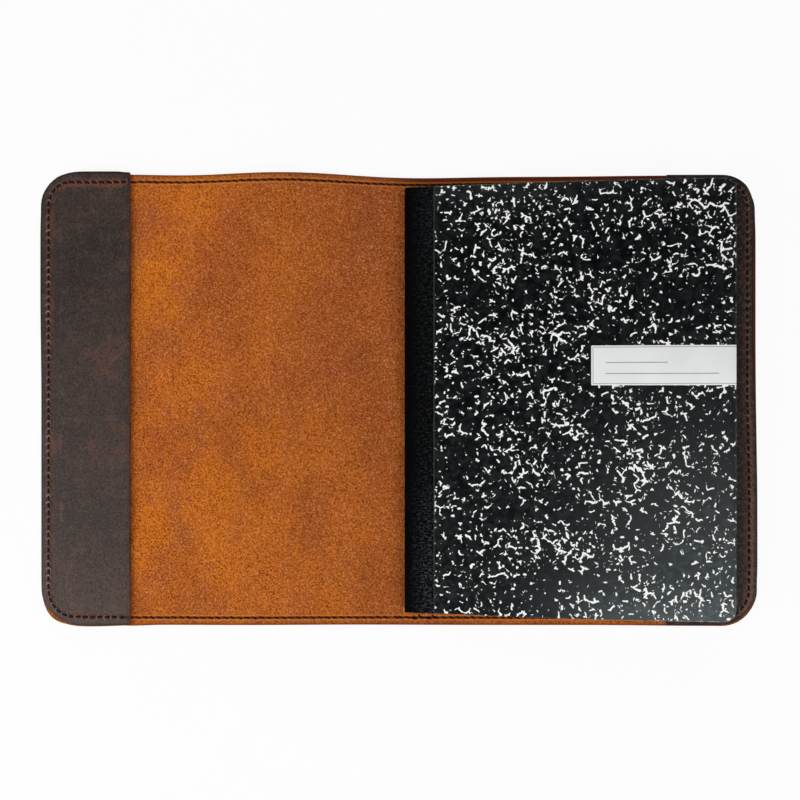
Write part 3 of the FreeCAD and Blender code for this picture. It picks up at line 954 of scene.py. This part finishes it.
@moved
def lie_of_front_seam(x, y):
    """Along the front flap's sides the seam was sewn a little further in, and the edge cut a bit full."""
    if y > 0:
        seam_in, full = 1.25, 1.1 * ramp(x, -199, -187) * ramp(-x, 158.5, 165.5)
    else:
        seam_in, full = 0.95, 1.4 * ramp(x, -199, -187) * ramp(-x, 138, 182)
    inward = seam_in * hump(abs(y), 129.5, 4.5) * ramp(-x, 158, 163) * ramp(x, -206, -190)
    outward = full * ramp(abs(y), 130.3, 133.3) - inward
    return 0, outward if y > 0 else -outward, 0


@moved
def lie_of_end(x, y):
    """Along each end the edge was cut a little full, and the seam was sewn a little further in."""
    outward = math.copysign(1, x)
    x = abs(x)
    if outward < 0:
        full, seam_in = 0.1 + 0.6 * ramp(y, 0, 65), 0.75
        full_corner = 1.1 * hump(y, 123.5, 6)
    else:
        full, seam_in = 1.3 + 0.7 * ramp(-y, -40, 60), 1.15 * ramp(y, -60, 10)
        full_corner = 0.65 * hump(y, 119, 8) + 1.25 * hump(y, -117.5, 8.5)
    from_turn = math.hypot(max(x - 192.5, 0), max(abs(y) - 113.5, 0))
    full *= ramp(-abs(y), -124, -98) * ramp(x, 208.8, 211.8)
    full += full_corner * ramp(from_turn, 17.0, 19.5)
    shift = full - seam_in * ramp(-abs(y), -130, -113) * hump(x, 207.5, 4)
    return outward * shift, 0, 0


def halve(sheet):
    """Cuts the sheet along the middle of the spine strip, which never bends."""
    back = copy_of(sheet, "cover_leather_back")
    sheet.name = sheet.data.name = "cover_leather_front"
    for half, hand in ((sheet, 1), (back, -1)):
        edit(half)
        cut_away((hand, 0, 0), hand * strip_middle)
        done()
    return sheet, back


sheet = cover_leather()
front_flap = pocket_flap("front_flap", -1)
back_flap = pocket_flap("back_flap", 1)
stitches = {on_flap: one_stitch(on_flap) for on_flap in (False, True)}
rows = seam_rows(stitches)
for stitch in stitches.values():
    bpy.data.objects.remove(stitch)

# each cage takes in only the stretch that its rule moves
room_y = half_height + 6 * MM
for flap, end in ((front_flap, -1), (back_flap, 1)):
    shape_with_cage(
        [sheet, flap, *rows.values()], (end * (half_length - 26 * MM), -room_y, -4 * MM),
        (end * (half_length + 4 * MM), room_y, 8 * MM), (30, 64, 2), lie_of_end)
for side in (-1, 1):
    shape_with_cage(
        [sheet, front_flap, rows["front", "inner"], rows["front", "outer"]],
        (-half_length - 4 * MM, side * 114 * MM, -4 * MM), (-flap_mouth + 28 * MM, side * 144 * MM, 8 * MM),
        (40, 30, 2), lie_of_front_seam)
edit(front_flap)
pick("VERT", lambda vertex: vertex.co.x > -flap_mouth - 1 * MM and abs(vertex.co.y) < 85 * MM)
bpy.ops.transform.translate(
    value=(0, 0, 0.2 * MM), use_proportional_edit=True, proportional_edit_falloff="SMOOTH",
    proportional_size=26 * MM)
done()
for flap, end, count, lie in (
        (front_flap, -1, 24, lie_of_front_flap), (back_flap, 1, 33, lie_of_back_flap)):
    shape_with_cage(
        [flap], (end * (half_length + 6 * MM), -room_y, 0), (end * (flap_mouth - 6 * MM), room_y, 8 * MM),
        (count, 64, 2), lie)
for flap, half, end in ((front_flap, "front", -1), (back_flap, "back", 1)):
    shape_with_cage(
        [flap, rows[half, "inner"]], (end * 172 * MM, -room_y, 0), (end * 220 * MM, -92 * MM, 16 * MM),
        (25, 25, 2), lie_of_near_corner)
margin = Vector((9, 9, 4)) * MM
shape_with_cage(
    [sheet, front_flap, back_flap, *rows.values()], cad_low - margin,
    Vector((cad_high.x, cad_high.y, flap_top)) + margin, (64, 42, 2), lie_of_leather)
front_leather, back_leather = halve(sheet)
for piece in (front_leather, back_leather, front_flap, back_flap, *rows.values()):
    smooth(piece)


# ---- the notebook ----

board_middle = 150 * MM


def rounded_fore(vertex):
    return vertex.co.x > board_middle


def bowed_on_hinge(place):
    """Where a point of the flat front board goes: bowed, and sprung up from the crease."""
    x, z = place.x - hinge.x, place.z - hinge.z
    middle, half = (board_start + board_length) / 2, (board_length - board_start) / 2
    z += board_bow * (1 - ((x - middle) / half) ** 2)
    rise_x, rise_z = math.cos(board_rise), math.sin(board_rise)
    return Vector((hinge.x + x * rise_x - z * rise_z, place.y, hinge.z + x * rise_z + z * rise_x))


def flat_on_board(name, start, end, low_y, high_y, bottom, thickness, **cut):
    """A sheet laid out flat at the height of the front board's outer face."""
    face = hinge.z + board_face
    return cut_sheet(
        name, (hinge.x + start, low_y, face + bottom),
        (hinge.x + end, high_y, face + bottom + thickness), **cut)


def front_board():
    board = flat_on_board(
        "marbled_front_board", board_start, board_length, board_low.y, board_high.y,
        bottom=-board_thickness, thickness=board_thickness, radius=board_corner,
        rounded=rounded_fore, ease=0.22 * MM)
    score((1, 0, 0), every(5 * MM, hinge.x, hinge.x + board_length))
    score((0, 1, 0), every(30 * MM, board_low.y, board_high.y))
    done()
    dress(board, marbled, lining, board_core)
    return board


def cover_label():
    label = flat_on_board(
        "cover_label", board_length - label_length, board_length - 0.05 * MM, label_low.y, label_high.y,
        bottom=0.02 * MM, thickness=0.1 * MM, radius=0.5 * MM,
        rounded=lambda vertex: vertex.co.x < board_middle, ease=0.03 * MM, steps=3)
    score((1, 0, 0), every(5 * MM, hinge.x + board_length - label_length, hinge.x + board_length))
    done()
    dress(label, label_paper, label_paper, label_paper)
    return label


def run_of_tape(name, path, travelled):
    """A strip of book cloth drawn along a path in X and Z, edge by edge."""
    x, z = path[0]
    width = Vector((1 * MM, 0, 0))
    strip = start_plane(name, Vector((x, tape_low.y, z)), Vector((x, tape_high.y, z)) + width)
    edit(strip)
    pick("VERT", lambda vertex: vertex.co.x > x + width.x / 2)
    bpy.ops.mesh.delete(type="VERT")
    bpy.ops.mesh.select_mode(type="EDGE")
    pick_all()
    lengths = [travelled]
    for (x, z), (next_x, next_z) in zip(path, path[1:]):
        pull_out(next_x - x, 0, next_z - z)
        lengths.append(lengths[-1] + math.dist((x, z), (next_x, next_z)))
    done()

    def flat(corner):
        step = min(range(len(path)), key=lambda n: math.dist(path[n], (corner.x, corner.z)))
        return lengths[step], corner.y

    draw_flat_map(strip, flat)
    return strip, lengths[-1]


def turn(centre_x, centre_z, radius, start, end, steps=8):
    """Points round part of a circle in X and Z."""
    angles = [math.radians(start + (end - start) * number / steps) for number in range(steps + 1)]
    return [(centre_x + radius * math.cos(a), centre_z + radius * math.sin(a)) for a in angles]


def spine_tapes():
    """The cloth spine in two runs, which meet half way up the back of the leaves."""
    thickness = 0.18 * MM
    bend = leaves_low.x - tape_low.x
    half_way = 6 * MM
    under = [(tape_high.x, tape_low.z), (tape_high.x - 6 * MM, tape_low.z)]
    under += turn(leaves_low.x, tape_low.z + bend, bend, 270, 180)
    under += [(tape_low.x, half_way)]
    back, travelled = run_of_tape("spine_cloth_back", under, 0)
    over = [(tape_low.x, half_way)]
    over += turn(leaves_low.x, tape_high.z - bend, bend, 180, 92)
    face = hinge.z + board_face + 0.2 * MM
    for x in (0.14, 0.32, 0.55, 0.9, 1.5, 3, 5, 7.5, 10, 12.5, 15.4):
        reached = bowed_on_hinge(Vector((hinge.x + x * MM, 0, face)))
        over.append((reached.x, reached.z))
    front, travelled = run_of_tape("spine_cloth_front", over, travelled)
    cloth = cloth_finish(travelled)
    for strip in (back, front):
        edit(strip)
        face_outward()
        done()
        wall = strip.modifiers.new("cloth", "SOLIDIFY")
        wall.thickness = thickness
        wall.offset = -1
        bpy.ops.object.modifier_apply(modifier=wall.name)
        strip.data.materials.append(cloth)
    return back, front


def leaf_stack():
    """The leaves in thin bundles: flat at the spine, stepping up over the flap, fanned at the fore edge."""
    count = 36
    clearance = 0.1 * MM
    step_from, step_to = 112 * MM, 162 * MM
    height = leaves_high.z - crown_top - clearance
    pitch = height / count
    bottom = leaves_low.z
    one = cut_sheet(
        "gathering", leaves_low, (leaves_high.x, leaves_high.y, bottom + pitch * 0.9),
        6.5 * MM, rounded=rounded_fore, ease=0, steps=5)
    score((1, 0, 0), [
        *every(18 * MM, leaves_low.x, step_from), step_from,
        *every(3.4 * MM, step_from, step_to), step_to])
    done()
    leaves = []
    for number in range(count):
        leaf = copy_of(one, "leaf")
        shift = (chance.uniform(-0.22, 0.0), chance.uniform(-0.12, 0.12), number * pitch / MM)
        leaf.data.transform(Matrix.Translation(Vector(shift) * MM))
        dress(leaf, ruled_paper if number == count - 1 else paper, paper, paper)
        leaves.append(leaf)
    bpy.data.objects.remove(one)
    stack = join(leaves, "leaves")
    top_at_spine = 8.9 * MM

    def lie_of_leaves(place):
        share = (place.z - bottom) / height
        step = (crown_top + clearance - bottom) * ramp(place.x, 119 * MM, flap_mouth - 2.5 * MM)
        across = (place.x - leaves_low.x) / (leaves_high.x - leaves_low.x)
        top = top_at_spine + (leaves_high.z - top_at_spine) * across
        lowest = bottom + step
        return Vector((place.x, place.y, lowest + share * (top - lowest)))

    shape_with_cage(
        [stack], (leaves_low.x - 8 * MM, leaves_low.y - 4 * MM, bottom),
        (leaves_high.x + 8 * MM, leaves_high.y + 4 * MM, bottom + height), (60, 2, 2), lie_of_leaves)
    return stack


board = front_board()
label = cover_label()
shape_with_cage(
    [board, label], (hinge.x - 12 * MM, board_low.y - 5 * MM, hinge.z - 4 * MM),
    (board_high.x + 12 * MM, board_high.y + 5 * MM, hinge.z + 4 * MM), (60, 2, 2), bowed_on_hinge)
back_tape, front_tape = spine_tapes()
leaves = leaf_stack()
for piece in (board, label, back_tape, front_tape):
    smooth(piece)
smooth(leaves, 30)

back_board = frame["nodes"]["notebook_back_board"]
back_board.data.materials.clear()
dress(back_board, lining, marbled, board_core)
for place in frame["nodes"]["notebook_sewing_thread"].material_slots:
    place.material = book_thread


# ---- what moves with what ----

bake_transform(front_leather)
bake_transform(back_leather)
for face in ("inner", "outer"):
    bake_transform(rows["front", face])
    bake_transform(rows["back", face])
    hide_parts(f"front_{face}_thread", f"spine_{face}_thread")
    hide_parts(f"back_{face}_thread")
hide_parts("outer_front_panel", "outer_spine_panel")
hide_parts("outer_back_panel")
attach(front_flap, "front_cover")
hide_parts("front_pocket_flap")
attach(back_flap, "back_cover")
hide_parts("back_pocket_flap")
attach(board, "notebook_front")
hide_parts("notebook_front_board")
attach(label, "notebook_front")
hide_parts("notebook_label")
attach(back_tape, "back_cover")
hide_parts("back_spine_tape")
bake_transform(front_tape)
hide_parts("front_spine_tape")
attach(leaves, "back_cover")
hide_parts("page_block")


# ---- the floor, the light and the camera ----

white = (1, 1, 1, 1)


def lay_floor():
    select_none()
    bpy.ops.mesh.primitive_plane_add(size=6, location=(0, 0, -0.05 * MM))
    floor = bpy.context.object
    floor.name = "studio_floor"
    finish, place = start_finish("studio_floor")
    finish.ground(place.noise(30), (240, 240, 240), (246, 246, 246))
    floor.data.materials.append(finish.made(0.9, gloss=0.1))
    x, y = place.parts()
    away = (x * x + y * y).root().between(0.35, 0.9)
    seen = finish.node("ShaderNodeLightPath", {}, "Is Camera Ray")
    lit = Field(finish, finish.shader.outputs[0])
    glow = finish.node("ShaderNodeEmission", {"Color": white, "Strength": 1})
    both = finish.node("ShaderNodeMixShader", {0: seen * (0.9 + 0.1 * away), 1: lit, 2: glow})
    finish.feed(finish.tree.nodes["Material Output"].inputs, {0: both})


def softbox(name, toward, distance, size, level):
    """A square lamp that faces the object and gives it a share of a plain level of light."""
    way = Vector(toward).normalized()
    data = bpy.data.lights.new(name, "AREA")
    data.shape = "SQUARE"
    data.size = size
    data.energy = level * math.pi ** 2 * distance ** 2 / way.z
    lamp = bpy.data.objects.new(name, data)
    scene.collection.objects.link(lamp)
    lamp.location = way * distance
    lamp.rotation_mode = "QUATERNION"
    lamp.rotation_quaternion = way.to_track_quat("Z", "Y")


def light_world():
    """A plain white room, brighter to the sides than straight above."""
    world = bpy.data.worlds.new("studio")
    scene.world = world
    room = Nodes(world)
    height = room.node("ShaderNodeTexCoord", {}, "Generated").parts("Z")[0]
    level = room.node(
        "ShaderNodeMapRange", {"Value": height, "To Min": 0.55, "To Max": 0.02},
        interpolation_type="SMOOTHSTEP")
    fill = room.tree.nodes["Background"]
    room.feed(fill.inputs, {"Color": white, "Strength": level})
    seen = room.node("ShaderNodeBackground", {"Color": white, "Strength": 1})
    to_camera = room.node("ShaderNodeLightPath", {}, "Is Camera Ray")
    both = room.node("ShaderNodeMixShader", {0: to_camera, 1: Field(room, fill.outputs[0]), 2: seen})
    room.feed(room.tree.nodes["World Output"].inputs, {0: both})


lay_floor()
light_world()
softbox("near_right_softbox", (0.52, -0.46, 0.72), 1.3, 0.8, 0.27)
softbox("left_softbox", (-0.77, -0.35, 0.53), 1.4, 1.2, 0.46)
softbox("far_softbox", (0.05, 0.92, 0.36), 1.4, 0.9, 0.10)

camera = bpy.data.objects.new("camera", bpy.data.cameras.new("camera"))
scene.collection.objects.link(camera)
camera.location = (0.9 * MM, 0, 330 * MM)
camera.data.sensor_width = 36
camera.data.lens = 24.705
camera.data.clip_start = 10 * MM
scene.camera = camera
scene.view_settings.view_transform = "Standard"
